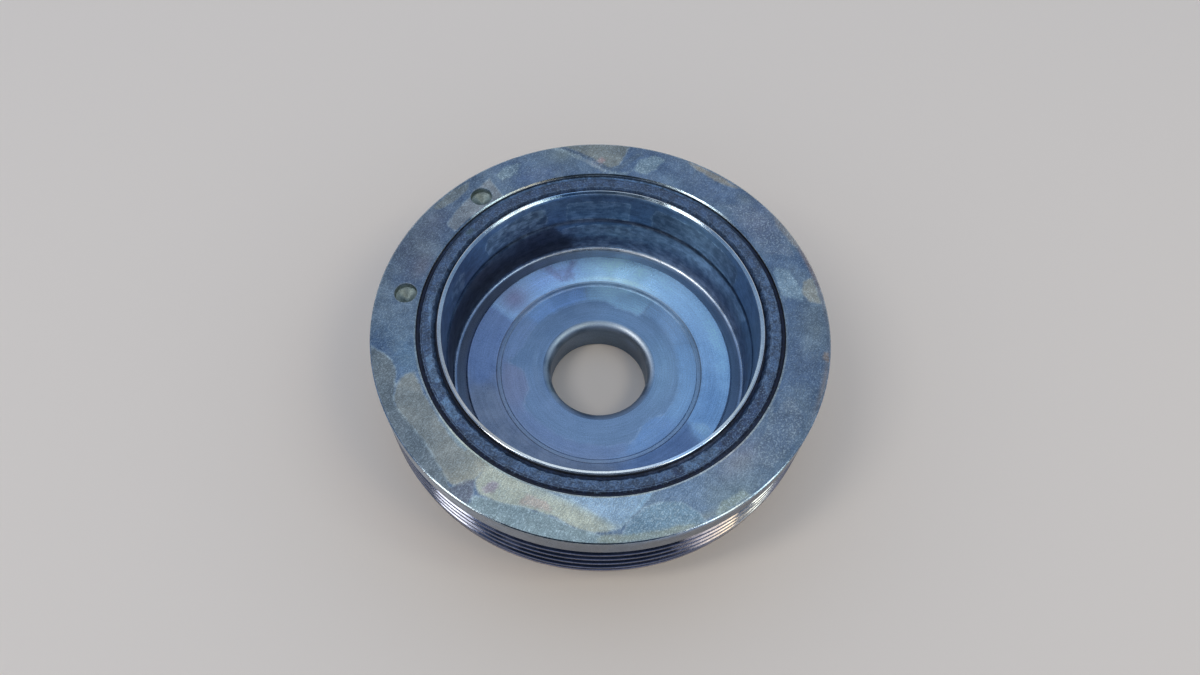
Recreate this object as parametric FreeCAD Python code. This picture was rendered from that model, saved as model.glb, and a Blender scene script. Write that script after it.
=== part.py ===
import FreeCAD, Part
import math
import os

# Crankshaft pulley with a rubber torsional damper, turned about Z, in millimetres.
# It stands on the end of its nose, at z = 0, with the open side of the hub cup upwards.
# The three pieces are the hub, the rubber ring pressed round it and the grooved inertia ring.

# Hub: a turned steel cup with a thick floor, a bore and a short nose underneath
cup_wall = 1.3
mouth_wall = 1.0
mouth_depth = 12.6
cup_depth = 27.9
web_thickness = 6.6
nose_length = 4.5
nose_diameter = 44.0
bore_diameter = 28.0
bore_mouth_radius = 2.2
bore_exit_chamfer = 0.6
nose_chamfer = 0.8
nose_fillet = 1.5
heel_chamfer = 1.6

# The bevels round the top, on the hub's rim and on both edges of the inertia ring, fall by this angle
top_bevel_angle = 30.0

# Rim of the hub: a narrow flat with a wide bevel on the inside and a broken edge outside
rim_recess = 0.2
rim_flat = 0.25
rim_edge = 0.12

# Floor of the cup: a trench at the foot of the wall, a dished ring, two small steps, a flat disc
trench_width = 4.0
trench_depth = 0.8
trench_radius = 0.9
floor_edge_bevel = 0.3
dish_width = 8.0
dish_fall = 1.4
step_width = 0.9
step_height = 0.3

# Rubber ring between the hub and the inertia ring, with a deep gutter inside and a shallow one outside
rubber_thickness = 5.5
rubber_gutter_depth = 2.0
rubber_outer_depth = 1.0
rubber_crown_depth = 0.45
rubber_crown_width = 2.6
rubber_inner_slope = 0.9
rubber_outer_slope = 0.6
rubber_outer_gutter = 0.7
rubber_rounding = 0.25

# Inertia ring: a plain band above five V grooves at the standard pitch, and a lower flange.
# Its wall and the rubber are measured inwards from its outside, and the hub takes what is left.
ring_diameter = 120.0
ring_wall = 11.6
plain_band = 6.5
groove_count = 5
groove_pitch = 3.56
groove_opening = 2.86
groove_depth = 2.9
groove_angle = 40.0
crest_radius = 0.28
root_radius = 0.25
lower_flange = 1.44
flange_drop = 0.4
ring_outer_bevel = 0.35
ring_bore_bevel = 0.5
ring_bottom_bevel = 0.5

# Two blind balancing holes drilled in the top face of the ring
balance_diameter = 6.0
balance_depth = 1.9
balance_point_angle = 118.0
balance_hole_inset = 7.6
balance_angles = (132.9, 174.3)

# Levels and radii that follow from the sizes above
total_height = nose_length + web_thickness + cup_depth
disc_level = nose_length + web_thickness
rim_level = total_height - rim_recess
ring_radius = ring_diameter / 2
ring_bore_radius = ring_radius - ring_wall
hub_radius = ring_bore_radius - rubber_thickness
cup_radius = hub_radius - cup_wall
mouth_radius = hub_radius - mouth_wall
bore_radius = bore_diameter / 2
nose_radius = nose_diameter / 2
step_level = disc_level + step_height
dish_level = step_level + step_height
floor_edge_level = dish_level + dish_fall
trench_level = floor_edge_level - trench_depth
floor_radius = cup_radius - trench_width
dish_radius = floor_radius - dish_width
disc_radius = dish_radius - step_width - 2 * step_height
flange_radius = ring_radius - flange_drop
ring_height = plain_band + groove_opening + (groove_count - 1) * groove_pitch + lower_flange
ring_bottom = total_height - ring_height
top_bevel_slope = math.tan(math.radians(top_bevel_angle))
rim_bevel_fall = (hub_radius - rim_flat - mouth_radius) * top_bevel_slope


def corner_arc(before, corner, after, rounding):
    """Return the start, middle and end of the arc that rounds one corner of a section."""
    to_before = (before - corner).normalize()
    to_after = (after - corner).normalize()
    half_angle = to_before.getAngle(to_after) / 2
    reach = rounding / math.tan(half_angle)
    bisector = (to_before + to_after).normalize()
    centre = corner + bisector * (rounding / math.sin(half_angle))
    middle = centre - bisector * rounding
    return corner + to_before * reach, middle, corner + to_after * reach


def turned(corners):
    """Turn a closed section about Z. Each corner is (radius, height, rounding)."""
    points = [FreeCAD.Vector(radius, 0, height) for radius, height, rounding in corners]
    runs = []
    for index, (radius, height, rounding) in enumerate(corners):
        corner = points[index]
        if rounding > 0:
            after = points[(index + 1) % len(points)]
            runs.append(corner_arc(points[index - 1], corner, after, rounding))
        else:
            runs.append((corner, None, corner))
    edges = []
    for index, (start, middle, end) in enumerate(runs):
        if middle is not None:
            edges.append(Part.Arc(start, middle, end).toShape())
        next_start = runs[(index + 1) % len(runs)][0]
        edges.append(Part.LineSegment(end, next_start).toShape())
    section = Part.Face(Part.Wire(edges))
    return section.revolve(FreeCAD.Vector(0, 0, 0), FreeCAD.Vector(0, 0, 1), 360)


def make_hub():
    """The turned hub: outside from the nose up to the rim, then down the inside of the cup."""
    outside = [
        (bore_radius + bore_exit_chamfer, 0, 0),
        (nose_radius - nose_chamfer, 0, 0),
        (nose_radius, nose_chamfer, 0),
        (nose_radius, nose_length, nose_fillet),
        (hub_radius - heel_chamfer, nose_length, 0),
        (hub_radius, nose_length + heel_chamfer, 0),
        (hub_radius, rim_level, rim_edge),
        (hub_radius - rim_flat, rim_level, rim_edge),
    ]
    wall = [
        (mouth_radius, rim_level - rim_bevel_fall, 0),
        (mouth_radius, total_height - mouth_depth, 0),
        (cup_radius, total_height - mouth_depth - (mouth_radius - cup_radius), 0),
        (cup_radius, trench_level, trench_radius),
    ]
    floor = [
        (floor_radius + floor_edge_bevel, trench_level, 0),
        (floor_radius + floor_edge_bevel, floor_edge_level - floor_edge_bevel, 0),
        (floor_radius, floor_edge_level, 0),
        (dish_radius, dish_level, 0),
        (dish_radius - step_height, step_level, 0),
        (disc_radius + step_height, step_level, 0),
        (disc_radius, disc_level, 0),
        (bore_radius, disc_level, bore_mouth_radius),
        (bore_radius, bore_exit_chamfer, 0),
    ]
    return turned(outside + wall + floor)


def make_damper_rubber():
    """The rubber ring: a raised crown between two gutters, the same above and below."""
    crown_start = ring_bore_radius - rubber_outer_gutter - rubber_outer_slope - rubber_crown_width
    upper = [
        (hub_radius, rubber_gutter_depth, 0),
        (crown_start - rubber_inner_slope, rubber_gutter_depth, 0),
        (crown_start, rubber_crown_depth, rubber_rounding),
        (crown_start + rubber_crown_width, rubber_crown_depth, rubber_rounding),
        (ring_bore_radius - rubber_outer_gutter, rubber_outer_depth, 0),
        (ring_bore_radius, rubber_outer_depth, 0),
    ]
    top = [(radius, total_height - depth, rounding) for radius, depth, rounding in upper]
    bottom = [(radius, ring_bottom + depth, rounding) for radius, depth, rounding in reversed(upper)]
    return turned(top + bottom)


def groove_corners():
    """The belt track, from the plain band down to the lower flange."""
    flank_fall = groove_depth * math.tan(math.radians(groove_angle / 2))
    root = ring_radius - groove_depth
    corners = []
    for number in range(groove_count):
        upper_lip = total_height - plain_band - number * groove_pitch
        lower_lip = upper_lip - groove_opening
        is_last = number == groove_count - 1
        lip_radius = flange_radius if is_last else ring_radius
        lip_rise = (ring_radius - lip_radius) * math.tan(math.radians(groove_angle / 2))
        corners += [
            (ring_radius, upper_lip, crest_radius),
            (root, upper_lip - flank_fall, root_radius),
            (root, lower_lip + flank_fall, root_radius),
            (lip_radius, lower_lip + lip_rise, crest_radius),
        ]
    return corners


def make_balance_hole(angle):
    """A drilled hole with the cone that the drill's point leaves."""
    hole_radius = balance_diameter / 2
    cone_height = hole_radius / math.tan(math.radians(balance_point_angle / 2))
    place = FreeCAD.Vector(ring_radius - balance_hole_inset, 0, total_height - balance_depth)
    clear = FreeCAD.Vector(place.x, 0, total_height + 1)
    barrel = Part.makeCylinder(hole_radius, clear.z - place.z, place)
    point = Part.makeCone(0, hole_radius, cone_height, place - FreeCAD.Vector(0, 0, cone_height))
    hole = barrel.fuse(point)
    hole.rotate(FreeCAD.Vector(0, 0, 0), FreeCAD.Vector(0, 0, 1), angle)
    return hole


def make_pulley_ring():
    """The inertia ring with its belt track, less the balancing holes."""
    inside = [
        (flange_radius, ring_bottom + ring_bottom_bevel, 0),
        (flange_radius - ring_bottom_bevel, ring_bottom, 0),
        (ring_bore_radius + ring_bottom_bevel, ring_bottom, 0),
        (ring_bore_radius, ring_bottom + ring_bottom_bevel, 0),
        (ring_bore_radius, total_height - ring_bore_bevel * top_bevel_slope, 0),
        (ring_bore_radius + ring_bore_bevel, total_height, 0),
        (ring_radius - ring_outer_bevel, total_height, 0),
        (ring_radius, total_height - ring_outer_bevel * top_bevel_slope, 0),
    ]
    ring = turned(groove_corners() + inside)
    for angle in balance_angles:
        ring = ring.cut(make_balance_hole(angle))
    return ring.Solids[0]


def save(node, shape):
    """Write one piece as a STEP file named after its node."""
    shape.exportStep("parts/" + node + ".step")
    box = shape.optimalBoundingBox()
    print(node, shape.ShapeType, "valid", shape.isValid(), "volume", round(shape.Volume, 1))
    print("  radius", round(box.XMax, 2), "from z", round(box.ZMin, 2), "to", round(box.ZMax, 2))


os.makedirs("parts", exist_ok=True)
save("hub", make_hub())
save("damper_rubber", make_damper_rubber())
save("pulley_ring", make_pulley_ring())
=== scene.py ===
import math

import bpy
import numpy as np
from mathutils import Matrix


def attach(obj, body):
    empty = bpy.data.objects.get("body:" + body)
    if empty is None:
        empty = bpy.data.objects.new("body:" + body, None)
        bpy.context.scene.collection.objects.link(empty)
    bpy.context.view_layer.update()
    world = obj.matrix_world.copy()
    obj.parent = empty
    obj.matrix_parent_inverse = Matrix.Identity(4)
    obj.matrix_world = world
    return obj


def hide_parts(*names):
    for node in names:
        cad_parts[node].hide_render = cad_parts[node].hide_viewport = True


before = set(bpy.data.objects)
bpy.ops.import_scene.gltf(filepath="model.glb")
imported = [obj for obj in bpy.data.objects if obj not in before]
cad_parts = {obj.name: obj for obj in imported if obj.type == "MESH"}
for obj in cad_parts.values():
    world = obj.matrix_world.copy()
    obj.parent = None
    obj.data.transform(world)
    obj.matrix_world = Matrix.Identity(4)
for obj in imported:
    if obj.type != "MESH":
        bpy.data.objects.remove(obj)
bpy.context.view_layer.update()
mm = 0.001
overhead = np.array((0.27, 0.38, 0.58))  # light from above, which the flat faces reflect
glow = np.array((0.50, 0.54, 0.54))  # added right overhead, where the front of the ring's face reflects it


# Colours and nodes

def linear(red, green, blue):  # a colour as seen on screen, 0 to 255, to Blender's linear values
    seen = np.array([red, green, blue]) / 255
    return tuple(np.where(seen <= 0.04045, seen / 12.92, ((seen + 0.055) / 1.055) ** 2.4))


def metal(red, green, blue):  # the metal's own colour, from how it looks when it reflects the light above
    return tuple(np.array(linear(red, green, blue)) / overhead)


def metalInGlow(red, green, blue):  # the same at the front of the ring, which reflects the glow too
    return tuple(np.array(linear(red, green, blue)) / (overhead + 0.42 * glow))


def addNode(tree, kind, inputs=None, **settings):  # an input is a value, or a socket to link from
    made = tree.nodes.new(kind)
    made.location = (220 * (len(tree.nodes) % 12), -260 * (len(tree.nodes) // 12))
    for name, value in settings.items():
        setattr(made, name, value)
    for name, value in (inputs or {}).items():
        if isinstance(value, bpy.types.NodeSocket):
            tree.links.new(value, made.inputs[name])
        else:
            made.inputs[name].default_value = value
    return made


def calculate(tree, operation, first, second=0.0):
    return addNode(tree, "ShaderNodeMath", {0: first, 1: second}, operation=operation).outputs[0]


def multiply(tree, first, *others):
    for other in others:
        first = calculate(tree, "MULTIPLY", first, other)
    return first


def mixColour(tree, amount, first, second, blend="MIX"):
    inputs = {0: amount, 6: first, 7: second}
    return addNode(tree, "ShaderNodeMix", inputs, data_type="RGBA", blend_type=blend).outputs[2]


def spread(tree, value, low, high, toLow=0.0, toHigh=1.0):  # a value's range carried to another, smoothly
    inputs = {"Value": value, "From Min": low, "From Max": high, "To Min": toLow, "To Max": toHigh}
    return addNode(tree, "ShaderNodeMapRange", inputs, interpolation_type="SMOOTHSTEP").outputs[0]


def vary(tree, tint, pattern, amount, swing):  # a tint made darker and lighter by a pattern from 0 to 1
    return mixColour(tree, amount, tint, spread(tree, pattern, 0, 1, 1 - swing, 1 + swing), "MULTIPLY")


def readAttribute(tree, name):
    return addNode(tree, "ShaderNodeAttribute", attribute_name=name)


def startGroup(name, inputs, outputs):
    tree = bpy.data.node_groups.new(name, "ShaderNodeTree")
    for socket, value in inputs.items():
        tree.interface.new_socket(socket, in_out="INPUT", socket_type="NodeSocketFloat").default_value = value
    for socket in outputs:
        tree.interface.new_socket(socket, in_out="OUTPUT", socket_type="NodeSocketFloat")
    return tree, addNode(tree, "NodeGroupInput").outputs, addNode(tree, "NodeGroupOutput").inputs


def useGroup(tree, group, **inputs):
    return addNode(tree, "ShaderNodeGroup", inputs, node_tree=group).outputs


# Lines left by turning: noise on a point's direction from the axis, which changes slowly, and on its
# radius plus height, which changes fast, so each line runs round the axis and fades in and out.
def makeTurnedGrain():
    tree, given, result = startGroup("turnedGrain", {"Spacing": 0.3, "Breaks": 4.0}, ["Lines"])
    place = addNode(tree, "ShaderNodeTexCoord").outputs["Object"]
    split = addNode(tree, "ShaderNodeSeparateXYZ", {0: place}).outputs
    flat = addNode(tree, "ShaderNodeCombineXYZ", {0: split[0], 1: split[1]}).outputs[0]
    radius = addNode(tree, "ShaderNodeVectorMath", {0: flat}, operation="LENGTH").outputs["Value"]
    away = addNode(tree, "ShaderNodeVectorMath", {0: flat}, operation="NORMALIZE").outputs[0]
    around = addNode(tree, "ShaderNodeSeparateXYZ", {0: away}).outputs
    step = calculate(tree, "DIVIDE", 1 / mm, given["Spacing"])
    across = multiply(tree, calculate(tree, "ADD", radius, split[2]), step)
    along = [multiply(tree, around[axis], given["Breaks"]) for axis in (0, 1)]
    sample = addNode(tree, "ShaderNodeCombineXYZ", {0: along[0], 1: along[1], 2: across}).outputs[0]
    noise = addNode(tree, "ShaderNodeTexNoise", {"Vector": sample, "Scale": 1.0, "Detail": 2.0})
    tree.links.new(spread(tree, noise.outputs[0], 0.25, 0.75), result["Lines"])
    return tree


# Blotches of one size in millimetres, between 0 and 1.
def makeBlotches():
    inputs = {"Size": 5.0, "Detail": 3.0, "Low": 0.3, "High": 0.7}
    tree, given, result = startGroup("blotches", inputs, ["Amount"])
    place = addNode(tree, "ShaderNodeTexCoord").outputs["Object"]
    scale = calculate(tree, "DIVIDE", 1 / mm, given["Size"])
    noise = addNode(tree, "ShaderNodeTexNoise", {"Vector": place, "Scale": scale, "Detail": given["Detail"]})
    tree.links.new(spread(tree, noise.outputs[0], given["Low"], given["High"]), result["Amount"])
    return tree


# Fine scratches of one direction: noise on the turned point, drawn out six times along one way.
def makeHairlines():
    tree, given, result = startGroup("hairlines", {"Spacing": 0.3, "Turn": 0.6}, ["Lines"])
    place = addNode(tree, "ShaderNodeTexCoord").outputs["Object"]
    inputs = {"Vector": place, "Angle": given["Turn"]}
    turned = addNode(tree, "ShaderNodeVectorRotate", inputs, rotation_type="Z_AXIS").outputs[0]
    thin = addNode(tree, "ShaderNodeVectorMath", {0: turned, 1: (1.0, 1 / 6, 1.0)}, operation="MULTIPLY")
    scale = calculate(tree, "DIVIDE", 1 / mm, given["Spacing"])
    noise = addNode(tree, "ShaderNodeTexNoise", {"Vector": thin.outputs[0], "Scale": scale, "Detail": 2.0})
    tree.links.new(spread(tree, noise.outputs[0], 0.3, 0.7), result["Lines"])
    return tree


# A patch whose signed depth in millimetres is given: its border is frayed by noise of two sizes, and
# the border itself comes out as a second mask.
def makeFrayedPatch():
    inputs = {"Depth": 0.0, "Fray": 1.0, "Soft": 0.5, "Rim": 0.8}
    tree, given, result = startGroup("frayedPatch", inputs, ["Inside", "Border"])
    place = addNode(tree, "ShaderNodeTexCoord").outputs["Object"]
    coarse = addNode(tree, "ShaderNodeTexNoise", {"Vector": place, "Scale": 0.35 / mm, "Detail": 2.0})
    fine = addNode(tree, "ShaderNodeTexNoise", {"Vector": place, "Scale": 1.6 / mm, "Detail": 3.0})
    wobble = calculate(tree, "ADD", coarse.outputs[0], multiply(tree, fine.outputs[0], 0.8))
    wobble = multiply(tree, calculate(tree, "SUBTRACT", wobble, 0.9), given["Fray"])  # 0.9 is the middle
    depth = calculate(tree, "ADD", given["Depth"], multiply(tree, wobble, 4.0))  # a millimetre each way
    low = multiply(tree, given["Soft"], -1.0)
    tree.links.new(spread(tree, depth, low, given["Soft"]), result["Inside"])
    tree.links.new(spread(tree, calculate(tree, "ABSOLUTE", depth), given["Rim"], 0.0), result["Border"])
    return tree


turnedGrain = makeTurnedGrain()
blotches = makeBlotches()
hairlines = makeHairlines()
frayedPatch = makeFrayedPatch()


def startMaterial(name):
    material = bpy.data.materials.new(name)
    material.use_nodes = True
    tree = material.node_tree
    return material, tree, tree.nodes["Principled BSDF"]


def raiseSurface(tree, shader, height, distance):  # a bump, with its height in metres
    bump = addNode(tree, "ShaderNodeBump", {"Height": height, "Distance": distance})
    tree.links.new(bump.outputs[0], shader.inputs["Normal"])


# The last steps of both metals: edges rubbed bare by an amount between least and most, then the tint
# and the roughness wired to the shader.
def finishMetal(tree, shader, tint, cloud, bare, least, most):
    worn = spread(tree, cloud, 0, 0.8, least, most)
    edge = multiply(tree, readAttribute(tree, "edge").outputs["Fac"], worn)
    tree.links.new(mixColour(tree, edge, tint, (*bare, 1)), shader.inputs["Base Color"])
    rough = readAttribute(tree, "rough").outputs["Fac"]
    rough = calculate(tree, "ADD", rough, spread(tree, cloud, 0, 1, -0.06, 0.06))
    tree.links.new(rough, shader.inputs["Roughness"])
    shader.inputs["Metallic"].default_value = 1.0


# One layer of films on a tint: the patches themselves, their pale borders and their speckles. Soft,
# fray and rim are the widths in millimetres of the border's fade, its unevenness and its pale line.
def addFilms(tree, tint, name, light, breaks, speck, soft, fray, rim):
    colour = readAttribute(tree, name + "Tint").outputs
    traits = readAttribute(tree, name + "Traits").outputs
    depth, border, speckle = addNode(tree, "ShaderNodeSeparateXYZ", {0: traits["Vector"]}).outputs
    patch = useGroup(tree, frayedPatch, Depth=depth, Fray=fray, Soft=soft, Rim=rim)
    tint = mixColour(tree, multiply(tree, patch["Inside"], colour["Alpha"]), tint, colour["Color"])
    tint = mixColour(tree, multiply(tree, patch["Border"], border, breaks, 0.6), tint, light)
    return mixColour(tree, multiply(tree, patch["Inside"], speckle, speck, 0.45), tint, light)


print("node groups made")


# Turned surfaces

# A closed section as rows of radius, height, edge and run. Each corner (radius, height, rounding, run)
# becomes an arc tangent to its two runs, and each run is divided evenly. A point stands close to
# each end of a run, so that its shading stays flat. Edge, how much a place is rubbed, is 1 on the
# arc of an outer corner and endWear where the arc begins and ends. Lengths are in millimetres.
def drawSection(corners, spacing, arcSteps=3, margin=0.05, endWear=0.4):
    places = np.array([corner[:2] for corner in corners], float)
    rounding = np.array([corner[2] for corner in corners], float)
    toBefore = np.roll(places, 1, 0) - places
    toAfter = np.roll(places, -1, 0) - places
    toBefore /= np.linalg.norm(toBefore, axis=1)[:, None]
    toAfter /= np.linalg.norm(toAfter, axis=1)[:, None]
    half = np.arccos(np.clip((toBefore * toAfter).sum(1), -1, 1)) / 2
    turn = toAfter[:, 0] * toBefore[:, 1] - toAfter[:, 1] * toBefore[:, 0]
    reach = (rounding / np.tan(half))[:, None]
    starts, ends = places + toBefore * reach, places + toAfter * reach
    rows = []
    for index, corner in enumerate(corners):
        following = (index + 1) % len(corners)
        if corner[2] > 0:
            bisector = toBefore[index] + toAfter[index]
            centre = places[index] + bisector / np.linalg.norm(bisector) * corner[2] / math.sin(half[index])
            first = math.atan2(*(starts[index] - centre)[::-1])
            sweep = math.atan2(*(ends[index] - centre)[::-1]) - first
            sweep = (sweep + math.pi) % (2 * math.pi) - math.pi
            angles = first + sweep * np.linspace(0, 1, arcSteps + 1)
            arc = centre + corner[2] * np.stack([np.cos(angles), np.sin(angles)], 1)
            isOuter = float(turn[index] > 0)
            worn = np.where((angles == angles[0]) | (angles == angles[-1]), endWear, 1.0) * isOuter
            rows += [(*point, edge, index) for point, edge in zip(arc, worn)]
        else:
            rows.append((*places[index], 0.0, index))
        span = starts[following] - ends[index]
        length = np.linalg.norm(span)
        inner = np.linspace(0, length, max(1, round(length / spacing)) + 1)[1:-1]
        near = [margin] if corner[2] > 0 else []
        far = [length - margin] if corners[following][2] > 0 else []
        inner = [at for at in inner if 2 * margin < at < length - 2 * margin]
        for at in near + inner + far if length > 3 * margin else [length / 2]:
            rows.append((*(ends[index] + span * at / length), 0.0, index))
    return np.array(rows)


# A section carried round the axis: x = radius cos(angle), y = radius sin(angle), z = height, closed
# both ways, as a grid of angles by section points.
def turnSection(name, angles, radius, height):
    points = np.stack([radius * np.cos(angles), radius * np.sin(angles), height], -1).reshape(-1, 3) * mm
    turns, steps = radius.shape
    grid = np.arange(turns * steps).reshape(turns, steps)
    beyond = np.roll(grid, -1, 0)
    quads = np.stack([grid, beyond, np.roll(beyond, -1, 1), np.roll(grid, -1, 1)], -1).reshape(-1, 4)
    mesh = bpy.data.meshes.new(name)
    mesh.from_pydata(points.tolist(), [], quads.tolist())
    mesh.polygons.foreach_set("use_smooth", np.ones(len(quads), bool))
    mesh.update()
    piece = bpy.data.objects.new(name, mesh)
    bpy.context.scene.collection.objects.link(piece)
    return piece


def repeatSection(section, turns):  # the radius and the height of every point of the grid
    return np.tile(section[:, 0], (turns, 1)), np.tile(section[:, 1], (turns, 1))


def layOnRuns(corners, section, values, turns):  # the value of each run, at every point of the grid
    found = np.array([values[corner[3]] for corner in corners])[section[:, 3].astype(int)]
    return np.tile(found, (turns,) + (1,) * found.ndim)


def layMetal(corners, section, finish, turns):  # the tint and the roughness of each run of a metal piece
    tints = {run: metal(*seen) for run, (seen, rough) in finish.items()}
    roughness = {run: rough for run, (seen, rough) in finish.items()}
    return layOnRuns(corners, section, tints, turns), layOnRuns(corners, section, roughness, turns)


def storeValue(piece, name, values):
    attribute = piece.data.attributes.new(name, "FLOAT", "POINT")
    attribute.data.foreach_set("value", np.ascontiguousarray(values, np.float32).ravel())


def storeColour(piece, name, colours):  # three values a point, or four
    attribute = piece.data.attributes.new(name, "FLOAT_COLOR", "POINT")
    if colours.shape[-1] == 3:
        colours = np.concatenate([colours, np.ones(colours.shape[:-1] + (1,))], -1)
    attribute.data.foreach_set("color", np.ascontiguousarray(colours, np.float32).ravel())


def dressPiece(piece, node, material):
    piece.data.materials.append(material)
    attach(piece, "root")
    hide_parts(node)
    print(node, "made of", len(piece.data.polygons) * 2, "triangles")


def angleBetween(angles, middle):  # degrees from a direction, -180 to 180
    return (np.degrees(angles) - middle + 180) % 360 - 180


# Soft stains: each one is (angle, place across, half width in degrees, half width in millimetres,
# colour, strength) and fades as exp(-distance to the power) from its middle, so that a power of 2 is
# a soft cloud and 6 a smudge with a plain middle.
def addStains(colours, isThere, angles, across, stains, shade, power=2):
    for middle, place, wide, deep, colour, strength in stains:
        along, aside = np.abs(angleBetween(angles, middle) / wide), np.abs((across - place) / deep)
        amount = (isThere * strength * np.exp(-along ** power - aside ** power))[..., None]
        colours = colours * (1 - amount) + np.array(shade(*colour)) * amount
    return colours


# How deep each point lies inside a patch, in millimetres, negative outside: the distance to the
# nearest side of its outline, laid out flat round a circle, with its sign from the crossings of a ray.
def depthInside(angles, across, outline, circle):
    middle = outline[0][0]
    x = np.radians(angleBetween(angles, middle)) * circle
    corners = np.array([(math.radians(turn - middle) * circle, place) for turn, place in outline])
    nearest = np.full(x.shape, 1e9)
    inside = np.zeros(x.shape, bool)
    for start, end in zip(corners, np.roll(corners, -1, 0)):
        side = end - start
        share = np.clip(((x - start[0]) * side[0] + (across - start[1]) * side[1]) / (side @ side), 0, 1)
        gap = np.hypot(x - start[0] - share * side[0], across - start[1] - share * side[1])
        nearest = np.minimum(nearest, gap)
        crosses = (start[1] > across) != (end[1] > across)
        slope = side[0] / side[1] if side[1] else 0.0
        inside ^= crosses & (x < start[0] + (across - start[1]) * slope)
    return np.where(inside, nearest, -nearest)


# One layer of films, each an outline (degrees, millimetres across), its seen colour, its strength, how
# pale its border is and how speckled it is. Each film weighs exp(depth / blend) at a point, so where
# two meet they run into each other. Each point gets the colour and the strength, then the depth inside
# the deepest film, the border and the speckle.
def layFilms(angles, across, isThere, groups, circle, blend=1.2):
    layer = [(*film, shade) for group, shade in groups for film in group]
    depths = np.stack([depthInside(angles, across, outline, circle) for outline, *rest in layer])
    weights = np.exp((depths - depths.max(0)) / blend)
    weights /= weights.sum(0)
    values = np.array([(*shade(*colour), *traits) for outline, colour, *traits, shade in layer])
    mixed = np.einsum("p...,pv->...v", weights, values)
    depth = np.where(isThere, depths.max(0).clip(-8, 8), -8)
    return np.concatenate([mixed[..., :4], depth[..., None], mixed[..., 4:]], -1)


def storeFilms(piece, name, layer):
    storeColour(piece, name + "Tint", layer[..., :4])
    storeColour(piece, name + "Traits", layer[..., 4:])


# Hub

hub = {
    "turns": 440, "rimLevel": 38.8, "rimEdge": 0.25, "rimEdgeFall": 0.1, "rimFall": 0.433,
    "radius": 42.9, "mouthRadius": 41.9, "cupRadius": 41.6, "ledgeLevel": 26.4,
    "trenchLevel": 12.3, "trenchRounding": 0.9, "floorRadius": 37.6, "floorLevel": 13.1,
    "dishRadius": 29.6, "dishLevel": 11.7, "stepHeight": 0.3, "stepWidth": 0.9, "discLevel": 11.1,
    "boreRadius": 14.0, "boreMouth": 2.2, "boreExit": 0.6,
    "noseRadius": 22.0, "noseChamfer": 0.8, "noseLength": 4.5, "noseFillet": 1.5, "heel": 1.6,
    "floorBevel": 0.3, "edgeBreak": 0.06, "crease": 0.1, "stepCrease": 0.08, "lipRoughness": 0.54,
}
hubFinishAndShading = {  # seen colour and roughness of each run of the section
    "under": ((92, 106, 124), 0.42), "nose": ((88, 102, 120), 0.40), "underWeb": ((72, 84, 100), 0.48),
    "outside": ((62, 74, 90), 0.55), "rim": ((100, 120, 150), 0.13), "rimBevel": ((96, 124, 158), 0.14),
    # the ledge's dark tint is a painted shade line along the step in the wall
    "mouthWall": ((51, 73, 110), 0.36), "ledge": ((30, 43, 68), 0.40), "wall": ((56, 78, 114), 0.38),
    # the fillet's pale tint is a painted highlight, the bright line along the foot of the wall
    "fillet": ((80, 108, 150), 0.30), "trench": ((70, 98, 142), 0.60),
    "floorBevel": ((128, 152, 188), 0.3), "dish": ((94, 134, 186), 0.32),
    "step": ((77, 104, 142), 0.40), "disc": ((78, 108, 152), 0.40), "bore": ((53, 76, 110), 0.36),
}
# Stains on the floor of the cup, placed by radius, and painted light along the fillet at the foot of the wall
dishStainsAndShading = [
    (5, 19, 38, 4.5, (92, 129, 174), 0.9), (75, 19, 26, 4.5, (89, 124, 171), 0.85),
    (220, 19, 26, 4.5, (83, 112, 157), 0.8), (12, 36, 24, 2.4, (106, 153, 205), 0.75),
    (80, 35, 24, 5, (110, 156, 205), 0.85), (342, 33, 14, 4, (84, 124, 178), 0.7),
    (56, 32.5, 13, 3, (100, 144, 200), 0.5), (104, 34, 8, 4, (96, 140, 200), 0.6),
    (124, 34, 10, 5, (86, 122, 184), 0.9), (141, 34, 9, 5, (80, 95, 138), 0.95),
    (82, 30.4, 20, 0.9, (124, 166, 205), 0.85), (37, 24.8, 4, 1.4, (106, 120, 160), 0.4),
    (30, 28.8, 45, 0.8, (88, 121, 164), 0.7), (90, 28.6, 16, 0.8, (94, 132, 182), 0.7),
    (122, 28.8, 10, 0.9, (63, 93, 140), 0.8), (86, 39.4, 26, 1.6, (102, 146, 204), 0.9),
    (120, 39.4, 20, 1.6, (84, 114, 168), 0.8), (165, 39.4, 34, 1.6, (69, 90, 128), 0.95),
    (10, 39.4, 40, 1.6, (66, 96, 140), 0.9), (48, 39.4, 14, 1.6, (80, 116, 166), 0.7),
    # the pale stain at 65° and the dark one at 165°, at 41.2 mm, are painted highlight and painted shade
    # along the fillet
    (65, 41.2, 44, 0.5, (150, 176, 210), 0.95), (165, 41.2, 44, 0.5, (52, 68, 98), 0.8),
    (111, 34, 9, 3.4, (88, 118, 180), 0.6),
]
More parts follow.
